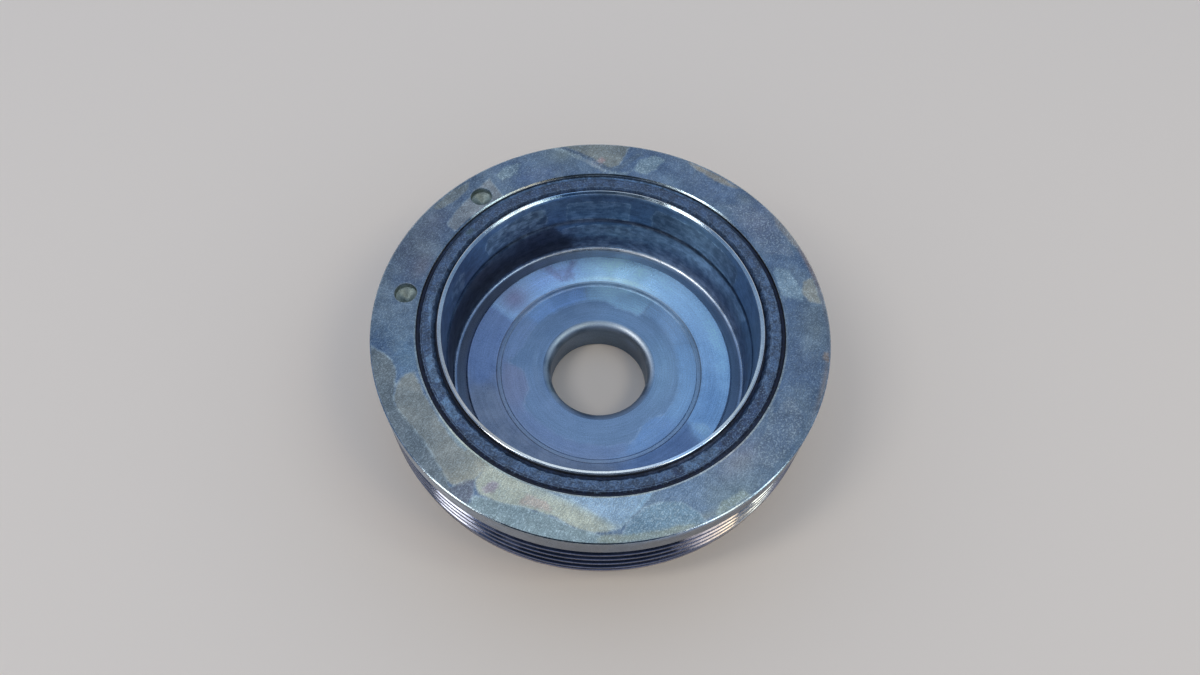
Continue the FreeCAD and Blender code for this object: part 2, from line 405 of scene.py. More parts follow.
floorFilms = [
    # the outer part of the disc, past a wavy tide mark
    ([(322, 23.2), (345, 23.4), (360, 23.0), (382, 22.9), (382, 28.4), (322, 28.4)], (93, 134, 187),
     0.9, 0.1, 0.1),
    ([(21, 22.9), (40, 23.1), (57, 23.2), (58, 28.4), (21, 28.4)], (95, 133, 184), 0.9, 0.1, 0.1),
    ([(57, 23.4), (60, 21.4), (78, 21.2), (88, 22.8), (101, 23.2), (101, 28.4), (57, 28.4)], (108, 152, 200),
     0.85, 0.2, 0.1),
    ([(101, 23.2), (128, 23), (144, 23.4), (144, 28.4), (101, 28.4)], (87, 127, 189), 0.9, 0.1, 0.1),
    ([(143, 23.4), (164, 23), (175, 25), (181, 28.4), (143, 28.4)], (85, 115, 165), 0.9, 0.2, 0.1),
    ([(177, 27.5), (182, 23.6), (186, 21.7), (194, 20.9), (202, 21.2), (206, 22.6), (215, 25), (217, 28.4),
      (177, 28.4)], (87, 106, 149), 0.9, 0.3, 0.1),
    ([(208, 25), (225, 23.8), (262, 23.7), (290, 24.2), (291, 28.4), (208, 28.4)], (77, 103, 150),
     0.9, 0.1, 0.1),
    ([(280, 28.4), (285, 26.5), (291, 25), (298, 23.6), (303, 22.2), (309, 21.2), (315, 21.1), (321, 22.4),
      (326, 23.6), (330, 28.4)], (79, 116, 172), 0.9, 0.3, 0.2),
    # rubbed arcs round the bore
    ([(163, 19.0), (190, 18.5), (218, 17.7), (218, 17.4), (190, 18.1), (163, 18.6)], (98, 130, 174),
     0.7, 0, 0),
    ([(180, 17.4), (200, 18.1), (215, 18.4), (215, 18.1), (200, 17.8), (180, 17.1)], (60, 84, 122),
     0.7, 0, 0),
    ([(338, 20.1), (370, 20.4), (410, 20.2), (410, 19.9), (370, 20.1), (338, 19.8)], (80, 112, 156),
     0.6, 0, 0),
    ([(345, 17.9), (370, 18.1), (400, 18.0), (400, 17.7), (370, 17.8), (345, 17.6)], (84, 116, 158),
     0.6, 0, 0),
    # the dish: violet on the left, grey in front, blue violet after it, with two dark strokes at the back
    ([(151, 29), (151, 38.4), (195, 38.4), (197, 34), (194.5, 29)], (69, 92, 140), 0.85, 0, 0),
    ([(187, 38.4), (189.5, 34.5), (186.5, 29), (287, 29), (284, 33), (288, 38.4)], (81, 98, 128), 0.9, 0, 0),
    ([(279, 29), (277, 33), (280, 38.4), (322, 38.4), (325, 34), (330, 29)], (62, 86, 132), 0.85, 0.1, 0),
    ([(325.5, 36.8), (329, 37), (331, 34), (328.5, 31.8), (326, 33.5)], (104, 146, 188), 0.7, 0.3, 0.3),
    ([(102.8, 37.4), (105.6, 37.3), (113.0, 31.6), (110.4, 30.8)], (70, 86, 138), 0.8, 0, 0.2),
    ([(116.8, 37.2), (120.2, 37.2), (113.6, 31.0), (111.2, 31.6)], (70, 86, 138), 0.8, 0, 0.2),
    ([(105.6, 32.8), (109, 33.6), (110, 31.6), (107, 30.7)], (74, 92, 144), 0.7, 0, 0.3),
    ([(111.6, 35.0), (116, 34.0), (114.6, 32.4)], (80, 98, 150), 0.7, 0, 0.3),
]
# Painted highlight on the rounded lip of the bore: lighter all round, brightest at 40° where the key lamp's
# reflection falls
lipHighlight = [
    (40, 15.5, 52, 1.1, (146, 172, 206), 0.97), (125, 15.5, 50, 1.1, (118, 150, 186), 0.9),
    (200, 15.5, 26, 1.1, (92, 122, 152), 0.8), (318, 15.5, 24, 1.1, (66, 88, 124), 0.7),
]
# Stains on the wall of the bore, placed by height
boreStains = [
    (140, 5, 36, 9, (66, 90, 128), 0.9), (38, 4, 24, 6, (48, 68, 100), 0.6),
    (48, 9, 10, 3, (60, 92, 146), 0.6),
]
# Painted highlights and shade on the rim, placed by radius: lighter where its reflections are bright,
# bluer at 107° and 301° over the golden lamp's reflection, darker where the lamps' highlights are toned down
rimHighlightsAndShade = [
    (93, 42.3, 30, 1, (112, 144, 186), 0.8), (107, 42.3, 13, 1.2, (66, 118, 196), 0.9),
    (213, 42.2, 22, 0.7, (84, 94, 112), 0.7), (0, 42.3, 20, 1, (110, 140, 176), 0.5),
    (268, 42.4, 34, 1, (126, 156, 196), 0.85), (301, 42.3, 12, 1.2, (76, 120, 188), 0.8),
    (133, 42.2, 9, 1, (72, 90, 118), 0.75), (54, 42.2, 9, 1, (74, 92, 120), 0.65),
    (234, 42.2, 9, 1, (76, 88, 108), 0.7),
]
# Stains and films on the inside of the cup, placed by height, with some painted light among them
wallStainsAndHighlight = [
    (44, 34, 15, 9, (38, 55, 82), 0.8), (98, 32, 22, 8, (57, 80, 120), 0.8),
    (150, 34, 12, 6, (38, 58, 92), 0.8), (180, 31, 15, 8, (74, 102, 140), 0.7),
    (330, 30, 40, 8, (56, 78, 112), 0.6), (230, 28, 40, 9, (40, 54, 80), 0.6),
    # the pale stain at 64° and 12.6 mm is a painted highlight along the fillet at the foot of the wall
    (50, 21, 14, 8, (58, 80, 116), 0.7), (64, 12.6, 44, 0.5, (150, 176, 210), 0.9),
    (20, 34.5, 14, 6, (51, 73, 108), 0.6),
]
wallFilmsAndShade = [
    ([(28, 27.2), (28, 34.4), (29.5, 35.4), (70, 35.0), (72, 31), (71, 27.2)], (37, 52, 79), 0.8, 0.25, 0.15),
    ([(81, 27), (81, 34.9), (106, 34.8), (106, 27.4), (98, 26.8)], (58, 82, 122), 0.75, 0.35, 0.3),
    ([(114, 31), (115.5, 34.6), (119, 35.8), (130, 35.4), (141, 35.8), (143.5, 33), (142, 27.4), (130, 26),
      (120, 26.8), (115, 27.6)], (37, 51, 78), 0.75, 0.3, 0.5),
    ([(157, 33), (160, 34.4), (168, 33.6), (169, 28.4), (159, 27.4)], (45, 66, 98), 0.6, 0.3, 0.5),
    ([(15, 25.6), (16.5, 23), (19.4, 19.6), (50, 19.8), (79, 19.8), (79, 25.8)], (68, 87, 120),
     0.85, 0.3, 0.3),
    ([(14.4, 25.4), (15.6, 25.4), (19.8, 19.4), (18.4, 19.2)], (112, 142, 184), 0.7, 0, 0),
    ([(78.6, 19.8), (78.6, 24.2), (104, 24.0), (108.6, 23.4), (108.6, 20.2), (96, 19.6)], (60, 75, 106),
     0.85, 0.4, 0.4),
    # painted shade: the lower wall on the left, facing away from the key lamp, made nearly black
    ([(112, 25.9), (108, 22), (102.5, 19), (103.5, 13), (200, 13), (200, 25.9)], (29, 36, 56), 0.95, 0, 0.03),
    ([(14, 19.4), (70, 19.2), (70, 12.9), (14, 12.9)], (62, 79, 116), 0.7, 0, 0.3),
    ([(70, 19.2), (104, 19.0), (104, 12.9), (70, 12.9)], (44, 56, 90), 0.75, 0, 0.3),
    ([(66, 16.0), (101, 15.4), (100, 14.2), (70, 14.6)], (58, 76, 112), 0.6, 0.3, 0.6),
    # painted shade: the dark line under the ledge
    ([(40, 26.1), (70, 26.2), (70, 25.7), (40, 25.7)], (28, 40, 64), 0.8, 0, 0),
]


def hubCorners(size):
    top, edge, crease = size["rimLevel"], size["edgeBreak"], size["crease"]
    ledgeFoot = size["ledgeLevel"] - (size["mouthRadius"] - size["cupRadius"])
    lift = size["stepHeight"]
    discEdge = size["dishRadius"] - size["stepWidth"] - 2 * lift
    trenchSide = size["floorRadius"] + size["floorBevel"]
    filletFoot = size["cupRadius"] - size["trenchRounding"] - 0.1
    return [
        (size["boreRadius"] + size["boreExit"], 0, edge, "under"),
        (size["noseRadius"] - size["noseChamfer"], 0, edge, "nose"),
        (size["noseRadius"], size["noseChamfer"], edge, "nose"),
        (size["noseRadius"], size["noseLength"], size["noseFillet"], "underWeb"),
        (size["radius"] - size["heel"], size["noseLength"], crease, "underWeb"),
        (size["radius"], size["noseLength"] + size["heel"], crease, "outside"),
        (size["radius"], top - size["rimEdgeFall"], edge, "rim"),
        (size["radius"] - size["rimEdge"], top, edge, "rimBevel"),
        (size["mouthRadius"], top - size["rimFall"], crease, "mouthWall"),
        (size["mouthRadius"], size["ledgeLevel"], 0, "ledge"),
        (size["cupRadius"], ledgeFoot, 0, "wall"),
        (size["cupRadius"], size["trenchLevel"], size["trenchRounding"], "fillet"),
        (filletFoot, size["trenchLevel"], 0, "trench"),
        (trenchSide, size["trenchLevel"], crease, "trench"),
        (trenchSide, size["floorLevel"] - size["floorBevel"], edge, "floorBevel"),
        (size["floorRadius"], size["floorLevel"], edge, "dish"),
        (size["dishRadius"], size["dishLevel"], crease, "step"),
        (size["dishRadius"] - lift, size["discLevel"] + lift, size["stepCrease"], "step"),
        (discEdge + lift, size["discLevel"] + lift, size["stepCrease"], "step"),
        (discEdge, size["discLevel"], crease, "disc"),
        (size["boreRadius"], size["discLevel"], size["boreMouth"], "bore"),
        (size["boreRadius"], size["boreExit"], edge, "bore"),
    ]


def makeHub():
    corners = hubCorners(hub)
    section = drawSection(corners, spacing=1.0)
    angles = np.linspace(0, 2 * math.pi, hub["turns"], endpoint=False)[:, None]
    radius, height = repeatSection(section, hub["turns"])
    around = np.broadcast_to(angles, radius.shape)
    piece = turnSection("hubCup", angles, radius, height)
    # each place takes in the rounded corners at its ends
    onFloor = (radius < hub["cupRadius"] - 0.5) & (height > 10) & (height < 14)
    lipFoot = hub["discLevel"] - hub["boreMouth"] - 0.1
    onLip = (radius < hub["boreRadius"] + hub["boreMouth"]) & (height > lipFoot)
    inBore = (radius < hub["boreRadius"] + 0.1) & ~onLip
    onRim = (radius > hub["mouthRadius"] - 0.01) & (height > hub["rimLevel"] - 1)
    onWall = (radius > hub["cupRadius"] - 0.6) & (radius < hub["mouthRadius"] + 0.01)
    onWall &= height > hub["trenchLevel"] - 0.1
    colours, roughness = layMetal(corners, section, hubFinishAndShading, hub["turns"])
    # painted highlight and shade along the fillet come with the floor's stains
    colours = addStains(colours, onFloor, around, radius, dishStainsAndShading, metal)
    # painted highlight on the bore's lip
    colours = addStains(colours, onLip, around, radius, lipHighlight, metal, power=4)
    colours = addStains(colours, inBore, around, height, boreStains, metal)
    # painted highlights and shade on the rim
    colours = addStains(colours, onRim, around, radius, rimHighlightsAndShade, metal)
    # painted highlight along the fillet comes with the wall's stains
    colours = addStains(colours, onWall, around, height, wallStainsAndHighlight, metal, power=4)
    storeColour(piece, "tint", colours)
    storeValue(piece, "wall", onWall.astype(float))
    onFloorFilms = layFilms(around, radius, onFloor, [(floorFilms, metal)], circle=25.0)
    # the wall's films include painted shade, on the lower left wall and under the ledge
    onWallFilmsAndShade = layFilms(around, height, onWall, [(wallFilmsAndShade, metal)], hub["mouthRadius"])
    storeFilms(piece, "film", np.where(onWall[..., None], onWallFilmsAndShade, onFloorFilms))
    storeValue(piece, "rough", np.where(onLip, hub["lipRoughness"], roughness))
    storeValue(piece, "edge", np.tile(section[:, 2], (hub["turns"], 1)))
    return piece


def makeHubSteel():
    material, tree, shader = startMaterial("hubSteel")
    tint = readAttribute(tree, "tint").outputs["Color"]
    lines = useGroup(tree, turnedGrain, Spacing=0.16, Breaks=3.0)[0]
    cloud = useGroup(tree, blotches, Size=6.0, Detail=5.0)[0]
    grain = useGroup(tree, blotches, Size=0.3, Detail=3.0)[0]
    rings = useGroup(tree, turnedGrain, Spacing=0.5, Breaks=0.9)[0]
    smears = useGroup(tree, turnedGrain, Spacing=1.1, Breaks=16.0)[0]
    smudge = useGroup(tree, blotches, Size=2.4, Detail=6.0, Low=0.35, High=0.65)[0]
    smudge = multiply(tree, calculate(tree, "ADD", smears, smudge), 0.5)
    wall = multiply(tree, readAttribute(tree, "wall").outputs["Fac"], 0.26)
    breaks = spread(tree, smudge, 0.2, 0.8, 0.2, 1.0)
    light = (*metal(132, 164, 200), 1)
    tint = addFilms(tree, tint, "film", light, breaks, smudge, soft=0.9, fray=0.3, rim=0.35)
    tint = vary(tree, tint, lines, amount=0.10, swing=0.6)
    tint = vary(tree, tint, rings, amount=0.08, swing=0.6)
    tint = mixColour(tree, wall, tint, spread(tree, smudge, 0.1, 0.9, 0.35, 1.65), "MULTIPLY")
    tint = vary(tree, tint, cloud, amount=0.20, swing=0.4)
    tint = vary(tree, tint, grain, amount=0.30, swing=0.4)
    finishMetal(tree, shader, tint, cloud, bare=(0.50, 0.58, 0.68), least=0.1, most=0.5)
    raiseSurface(tree, shader, calculate(tree, "ADD", lines, multiply(tree, grain, 0.6)), distance=0.004 * mm)
    return material


dressPiece(makeHub(), "hub", makeHubSteel())


# Damper rubber

rubber = {
    "turns": 720, "innerRadius": 42.9, "outerRadius": 48.4, "top": 39.0, "bottom": 13.96,
    "gutterDepth": 2.0, "crownDepth": 0.45, "crownStart": 44.5, "crownWidth": 2.6,
    "innerSlope": 0.9, "outerGutter": 0.7, "outerDepth": 1.0, "rounding": 0.25,
    "crownRows": (44.95, 45.35, 45.75, 46.15), "beadRadius": 46.65, "beadHeight": 0.10, "beadWidth": 0.16,
    "crease": 0.1, "footRounding": 0.15, "beadFoot": 0.03, "beadRounding": 0.05,
    "waviness": 0.03, "raggedness": 0.07, "filmBlend": 0.25,
    # number of waves round the ring, their shift in radians and their strength
    "waves": ((7, 1, 1.0), (19, 2, 0.6), (43, 0, 0.4)),
    "rags": ((61, 0, 1.0), (97, 1, 1.0), (131, 2, 1.0), (173, 3, 1.0)),
}
rubberColours = {  # seen colour of each run of the section
    "gutter": (20, 27, 46), "slope": (26, 36, 58), "crown": (66, 88, 118),
    "lip": (46, 63, 92), "outerSlope": (44, 60, 88), "outerGutter": (10, 23, 50),
}
rubberStains = [
    (145, 45.9, 1.6, 0.8, (76, 104, 98), 0.5), (119, 47.0, 0.6, 1.4, (20, 28, 44), 0.85),
    (108.4, 46, 0.35, 1.6, (140, 160, 184), 0.8), (116, 46, 16, 2, (54, 72, 100), 0.6),
    (40, 46.8, 16, 0.7, (72, 92, 118), 0.6),
]
# Stains on the slopes and gutters beside the crown, placed by radius: much paler on the outer side at the
# back, and lighter in places elsewhere
gutterStains = [
    (96, 48, 48, 1.2, (104, 134, 168), 0.95), (316, 48, 14, 1.2, (44, 60, 86), 0.5),
    (48, 44, 40, 1.2, (40, 54, 84), 0.6), (52, 43.4, 16, 0.5, (88, 112, 142), 0.6),
    (264, 43.3, 26, 0.6, (40, 58, 90), 0.85), (305, 43.3, 16, 0.6, (82, 94, 118), 0.9),
    (336, 43.3, 14, 0.6, (36, 50, 80), 0.8),
]
rubberFilms = [
    ([(196, 44.7), (197, 46.3), (206, 46.6), (207, 45.4), (207.5, 44.6)], (106, 136, 166), 0.75, 0.4, 0.3),
    ([(209, 45), (209.3, 46.6), (211, 46.6), (211.4, 45.6), (210.6, 44.7)], (86, 110, 138), 0.7, 0.3, 0.3),
    ([(213, 44.6), (213.6, 46.7), (221.6, 46.7), (221.4, 44.7)], (98, 128, 158), 0.8, 0.4, 0.3),
    ([(226.5, 44.5), (227, 46.5), (294, 46.5), (294.4, 44.5)], (74, 98, 128), 0.75, 0.3, 0.3),
    ([(294.6, 44), (294.6, 47), (298, 47), (298, 44)], (44, 60, 88), 0.9, 0, 0.1),
    ([(298.2, 44.6), (298.2, 46.8), (310.4, 46.8), (311, 45.6), (309.6, 44.7)], (84, 110, 138),
     0.8, 0.9, 0.3),
    ([(311.6, 44.4), (311.6, 47), (335, 47), (338, 44.6)], (52, 70, 100), 0.7, 0, 0.6),
    ([(335.6, 46.9), (339, 44.9), (384, 44.9), (384, 46.9)], (76, 101, 132), 0.6, 0.7, 0.3),
    ([(173, 44.7), (174.4, 46), (182, 45.3), (186, 44.7)], (104, 134, 166), 0.75, 0.3, 0.3),
]


def rubberCorners(size):
    crownEnd = size["crownStart"] + size["crownWidth"]
    half = [
        (size["innerRadius"], size["gutterDepth"], size["crease"], "gutter"),
        (size["crownStart"] - size["innerSlope"], size["gutterDepth"], size["footRounding"], "slope"),
        (size["crownStart"], size["crownDepth"], size["rounding"], "crown"),
        *[(radius, size["crownDepth"], 0, "crown") for radius in size["crownRows"]],
        (size["beadRadius"] - size["beadWidth"], size["crownDepth"], size["beadFoot"], "crown"),
        (size["beadRadius"], size["crownDepth"] - size["beadHeight"], size["beadRounding"], "crown"),
        (size["beadRadius"] + size["beadWidth"], size["crownDepth"], size["beadFoot"], "lip"),
        (crownEnd, size["crownDepth"], size["rounding"], "outerSlope"),
        (size["outerRadius"] - size["outerGutter"], size["outerDepth"], size["footRounding"], "outerGutter"),
        (size["outerRadius"], size["outerDepth"], size["crease"], "outerGutter"),
    ]
    upper = [(radius, size["top"] - depth, rounding, run) for radius, depth, rounding, run in reversed(half)]
    lower = [(radius, size["bottom"] + depth, rounding, run) for radius, depth, rounding, run in half]
    return upper + lower


def addWaves(angles, waves):  # the sum of strength * sin(number * angle + shift)
    return sum(strength * np.sin(number * angles + shift) for number, shift, strength in waves)


def makeRubber():
    corners = rubberCorners(rubber)
    section = drawSection(corners, spacing=2.0)
    angles = np.linspace(0, 2 * math.pi, rubber["turns"], endpoint=False)[:, None]
    radius, height = repeatSection(section, rubber["turns"])
    around = np.broadcast_to(angles, radius.shape)
    isTop = height > rubber["top"] - 3
    isCrown = (height > rubber["top"] - 1.0) & (radius > 44) & (radius < 47.4)
    # the inner edge of the crown is ragged: waves of several lengths added to its radius
    isRagged = (height > rubber["top"] - 1.0) & (radius < 45)
    radius = radius + isRagged * addWaves(angles, rubber["rags"]) * rubber["raggedness"]
    raised = height + isCrown * addWaves(angles, rubber["waves"]) * rubber["waviness"]
    piece = turnSection("damperRubberRing", angles, radius, raised)
    tints = {run: linear(*seen) for run, seen in rubberColours.items()}
    colours = layOnRuns(corners, section, tints, rubber["turns"])
    colours = addStains(colours, isCrown, around, radius, rubberStains, linear, power=4)
    colours = addStains(colours, isTop & ~isCrown, around, radius, gutterStains, linear, power=4)
    storeColour(piece, "tint", colours)
    layer = layFilms(
        around, radius, isCrown, [(rubberFilms, linear)], rubber["beadRadius"], rubber["filmBlend"])
    storeFilms(piece, "film", layer)
    storeValue(piece, "crown", isCrown.astype(float))
    storeValue(piece, "edge", np.tile(section[:, 2], (rubber["turns"], 1)))
    return piece


def makeDamperRubber():
    material, tree, shader = startMaterial("damperRubber")
    tint = readAttribute(tree, "tint").outputs["Color"]
    cloud = useGroup(tree, blotches, Size=2.4, Detail=5.0, Low=0.35, High=0.65)[0]
    dust = useGroup(tree, blotches, Size=0.5, Detail=4.0, Low=0.54, High=0.66)[0]
    pits = useGroup(tree, blotches, Size=0.7, Detail=4.0, Low=0.55, High=0.66)[0]
    grain = useGroup(tree, blotches, Size=0.35, Detail=3.0)[0]
    light = (*linear(128, 156, 184), 1)
    breaks = spread(tree, cloud, 0, 1, 0.2, 1.0)
    tint = addFilms(tree, tint, "film", light, breaks, dust, soft=0.12, fray=0.06, rim=0.16)
    tint = vary(tree, tint, cloud, amount=0.50, swing=0.6)
    tint = vary(tree, tint, grain, amount=0.60, swing=0.6)
    tint = mixColour(tree, multiply(tree, pits, 0.6), tint, (*linear(18, 26, 44), 1))
    crown = readAttribute(tree, "crown").outputs["Fac"]
    worn = spread(tree, cloud, 0, 1, 0.3, 0.8)
    edge = multiply(tree, readAttribute(tree, "edge").outputs["Fac"], worn, crown)
    tint = mixColour(tree, edge, tint, (*linear(98, 124, 152), 1))
    tint = mixColour(tree, multiply(tree, dust, crown, 0.8), tint, (*linear(112, 134, 158), 1))
    tree.links.new(tint, shader.inputs["Base Color"])
    tree.links.new(calculate(tree, "ADD", 0.42, multiply(tree, cloud, 0.25)), shader.inputs["Roughness"])
    shader.inputs["Specular IOR Level"].default_value = 0.5
    relief = calculate(tree, "SUBTRACT", grain, multiply(tree, pits, 1.5))
    raiseSurface(tree, shader, relief, distance=0.05 * mm)
    return material


dressPiece(makeRubber(), "damper_rubber", makeDamperRubber())


# Pulley ring

ring = {
    "turns": 430, "radius": 60.0, "wall": 11.6, "top": 39.0, "bottom": 13.96,
    "plainBand": 6.5, "grooves": 5, "pitch": 3.56, "opening": 2.86, "depth": 2.9, "angle": 40.0,
    "crestRounding": 0.28, "rootRounding": 0.25, "flangeRadius": 59.6,
    "outerBevel": 0.35, "outerFall": 0.13, "bottomBevel": 0.5, "boreBevel": 0.5, "bevelAngle": 30.0,
    "edgeBreak": 0.06, "faceRows": (59.2, 58.6, 58.0, 57.4, 56.8, 56.3),
}
holes = {
    "angles": (132.9, 174.3), "circle": 52.4,
    # distance on the grid from a hole's middle, the radius it is drawn to and the depth it sinks to
    "lines": (0, 0.7, 1.4, 2.1, 2.7, 2.85, 3.0, 3.1, 3.2, 3.35),
    "radii": (0, 0.78, 1.56, 2.34, 2.94, 3.0, 3.0, 3.06, 3.14, 3.35),
    "depths": (3.70, 3.24, 2.76, 2.30, 1.94, 1.84, 0.10, 0.02, 0.0, 0.0),
    "clearance": 0.3,  # degrees kept free of even angles beside the grid
    "bottomColour": (84, 106, 124), "roughness": 0.55,
}
ringFinishAndShade = {  # seen colour and roughness of each run of the section
    "face": ((66, 91, 128), 0.42), "bevel": ((72, 92, 118), 0.13), "boreBevel": ((74, 98, 128), 0.15),
    "bore": ((46, 56, 70), 0.5), "band": ((54, 72, 102), 0.28), "groove": ((50, 64, 98), 0.12),
    # the downward flank of each groove, underFlank: its very dark tint is painted shade
    "underFlank": ((24, 31, 50), 0.30), "crest": ((28, 36, 58), 0.20), "flange": ((80, 88, 108), 0.42),
    "under": ((84, 92, 102), 0.48),
}
# Painted highlights and shade on the plain band: lighter at 229° and 250° where the key lamp's highlight
# falls, darker at 197°, and at 338° where the floor's reflection is toned down
bandHighlightsAndShade = [  # placed by height, on the plain band
    (229, 36, 18, 4, (94, 120, 160), 0.95), (250, 36, 9, 4, (72, 96, 134), 0.6),
    (197, 36, 8, 4, (40, 50, 74), 0.8), (338, 36, 13, 4, (24, 38, 66), 0.9),
]
# Painted highlights and shade on the belt track: lighter from 218° to 236° and at 311° where the lamps'
# highlights fall, and a plain dark blue at 338°
trackHighlightsAndShade = [  # placed by height, on the belt track
    (218, 24, 20, 14, (58, 70, 94), 0.85), (236, 24, 9, 14, (62, 74, 98), 0.9),
    (311, 24, 9, 14, (98, 112, 130), 0.95), (338, 24, 12, 14, (36, 54, 84), 0.8),
]
# Among the face's stains, those at the bevels paint light: at 297° a bluer tint on the outer bevel covers the
# golden lamp's reflection, at 228° and 238° a paler tint is a painted highlight along the bore bevel, and at
# 118° painted shade tones the lamps' highlight on the bore bevel down
faceStainsAndShading = [  # placed by radius
    (60, 59, 80, 1.8, (61, 82, 114), 0.6), (160, 58.8, 40, 3, (54, 73, 102), 0.75),
    (342, 58.6, 26, 2.4, (50, 73, 108), 0.8), (297, 52.5, 13, 7, (84, 112, 150), 0.85),
    (297, 59.85, 16, 0.35, (58, 100, 168), 0.85), (238, 48.6, 14, 0.5, (84, 112, 136), 0.8),
    (157, 53.5, 26, 6, (60, 78, 110), 0.6), (118, 48.4, 26, 0.5, (44, 60, 86), 0.9),
    (82, 48.4, 14, 0.5, (64, 86, 118), 0.9), (38, 54.5, 7, 5, (74, 88, 122), 0.6),
    (30, 50, 5, 2, (84, 108, 138), 0.4), (47, 57, 3, 2, (98, 116, 130), 0.4),
    (60, 53, 10, 4, (74, 96, 132), 0.5), (70, 51, 6, 2, (82, 110, 142), 0.4),
    (112, 51.5, 9, 3.2, (66, 86, 128), 0.6), (104, 57, 3.5, 3, (98, 116, 122), 0.5),
    (125, 57, 1.8, 4, (82, 106, 142), 0.5), (157, 56, 10, 6, (70, 82, 106), 0.7),
    (164, 51, 5, 2.5, (84, 90, 106), 0.5), (148, 56, 4, 3, (82, 96, 122), 0.4),
    (178, 55, 5, 6, (80, 102, 132), 0.5), (188, 55, 6, 7, (52, 77, 114), 0.8),
    (196, 51, 6, 3, (86, 118, 152), 0.6), (228, 49, 9, 1.2, (120, 146, 160), 0.5),
    (306, 57, 6, 4, (92, 118, 142), 0.5), (313, 51.5, 8, 3.5, (96, 110, 136), 0.7),
    (334, 55, 6, 5, (60, 80, 110), 0.7), (350, 53.5, 9, 5, (70, 90, 120), 0.5),
    (3, 56, 6, 4, (88, 106, 122), 0.5), (290, 58.6, 12, 1.0, (124, 140, 138), 0.5),
    (344, 59.2, 8, 0.6, (104, 104, 104), 0.5), (20, 59.4, 14, 0.5, (110, 104, 104), 0.6),
]
# Films and marks on the face, in layers from the lowest. Each is an outline (degrees, millimetres from
# the axis), its seen colour, its strength, how pale its border is and how speckled it is.
films = [
    ([(84, 60.5), (86.8, 52.4), (90, 50.5), (104.2, 60.5)], (93, 107, 116), 0.8, 0.4, 0.2),
    ([(127.3, 47), (127.1, 56.4), (136, 54.3), (142, 53.3), (147.8, 52), (148.2, 47)], (98, 112, 128),
     0.7, 0.5, 0.3),
    ([(132.5, 58.9), (134, 57), (139, 56), (144.5, 57.2), (145.5, 59), (139, 59.4)], (92, 106, 114),
     0.6, 0.1, 0.2),
    ([(8, 58.8), (9, 55.6), (12, 54.6), (15.5, 56), (16.5, 58.8)], (104, 116, 122), 0.7, 0.1, 0.3),
    ([(51, 59.4), (53, 57.8), (58, 57.3), (64, 57.8), (67, 59.4)], (110, 116, 116), 0.7, 0.3, 0.3),
    ([(26, 59.8), (27, 58.2), (35, 58.0), (38, 59.8)], (96, 104, 112), 0.5, 0.1, 0.3),
]
frontFilms = [
    ([(201.5, 49.6), (201, 52), (203.5, 55), (207, 56.8), (210, 57), (221, 55.4), (234, 57.4), (234.4, 50),
      (226, 49.6), (214, 49.2)], (123, 135, 141), 0.9, 0.35, 0),
    ([(231.5, 47), (230.5, 57.6), (235, 58), (236.6, 56.9), (235.2, 47)], (136, 146, 147), 0.9, 0, 0.1),
    ([(234.4, 47), (235.4, 57.4), (237, 56.5), (238.6, 53.8), (239.4, 47)], (150, 159, 156), 0.9, 0, 0.2),
    ([(238.8, 47), (238.6, 53.8), (241.5, 56.2), (248, 55.6), (254, 54.4), (261, 54.6), (266, 56.4),
      (271, 57.4), (277, 56.2), (270, 52), (262, 49.4), (255, 48.2)], (160, 175, 173), 0.9, 0.2, 0.2),
    ([(254, 48), (262, 49.6), (270, 52.4), (277, 56), (284, 51), (290, 47), (262, 47)], (133, 172, 208),
     0.85, 0.2, 0.3),
]
lobes = [
    ([(190.5, 60.5), (193, 57), (195.5, 55), (199, 54.2), (203, 55.2), (207, 56.7), (209.8, 57), (210, 60.5)],
     (76, 92, 108), 0.85, 0.7, 0.1),
    ([(210, 60.5), (209.8, 56.9), (214, 55.9), (220.5, 55.2), (226, 55.9), (232, 57.3), (235, 58.8),
      (236, 60.5)], (77, 94, 112), 0.85, 0.5, 0.1),
    ([(89.6, 51), (90.6, 50.2), (105.6, 60.4), (104.2, 60.6)], (60, 80, 108), 0.85, 0, 0.1),
    ([(79.8, 57.8), (82.2, 57.8), (86.6, 52.4), (90, 50.9), (90, 49.2), (86.6, 50)], (64, 86, 116),
     0.8, 0, 0.1),
]
frontLobes = [
    ([(240.8, 60.5), (240.8, 57.2), (242.5, 56.2), (246, 55.8), (252, 54.5), (258, 54.4), (262, 55.1),
      (265, 56.2), (270, 57.2), (275, 58.4), (277, 60.5)], (126, 151, 165), 0.85, 0.7, 0.7),
    ([(276, 60.5), (277.4, 57.5), (279.5, 54.4), (284, 52), (289, 51.6), (293, 53.2), (296, 56.5),
      (297, 60.5)], (110, 143, 170), 0.75, 0.6, 0.6),
    ([(260, 47.6), (277, 55.6), (286.5, 47.6)], (132, 162, 196), 0.6, 0.7, 0.4),
]
frontMarks = [
    ([(234.4, 60.5), (235.4, 57.6), (237.2, 54.6), (238.4, 53.6), (239.4, 55.2), (240.4, 57.4), (241, 60.5)],
     (100, 112, 132), 0.85, 0.5, 0.2),
    ([(241.2, 54.5), (242.5, 55.4), (244.6, 54), (244.4, 52), (242.6, 51.9)], (138, 134, 160), 0.7, 0, 0),
    ([(251, 54), (256, 53.7), (260.5, 53.6), (258, 51.4), (252.5, 50.9)], (162, 160, 164), 0.7, 0, 0.1),
    ([(271, 59), (273, 57.6), (279, 57.8), (292, 58.4), (296, 59.8), (272, 59.8)], (132, 146, 140),
     0.6, 0, 0.3),
]
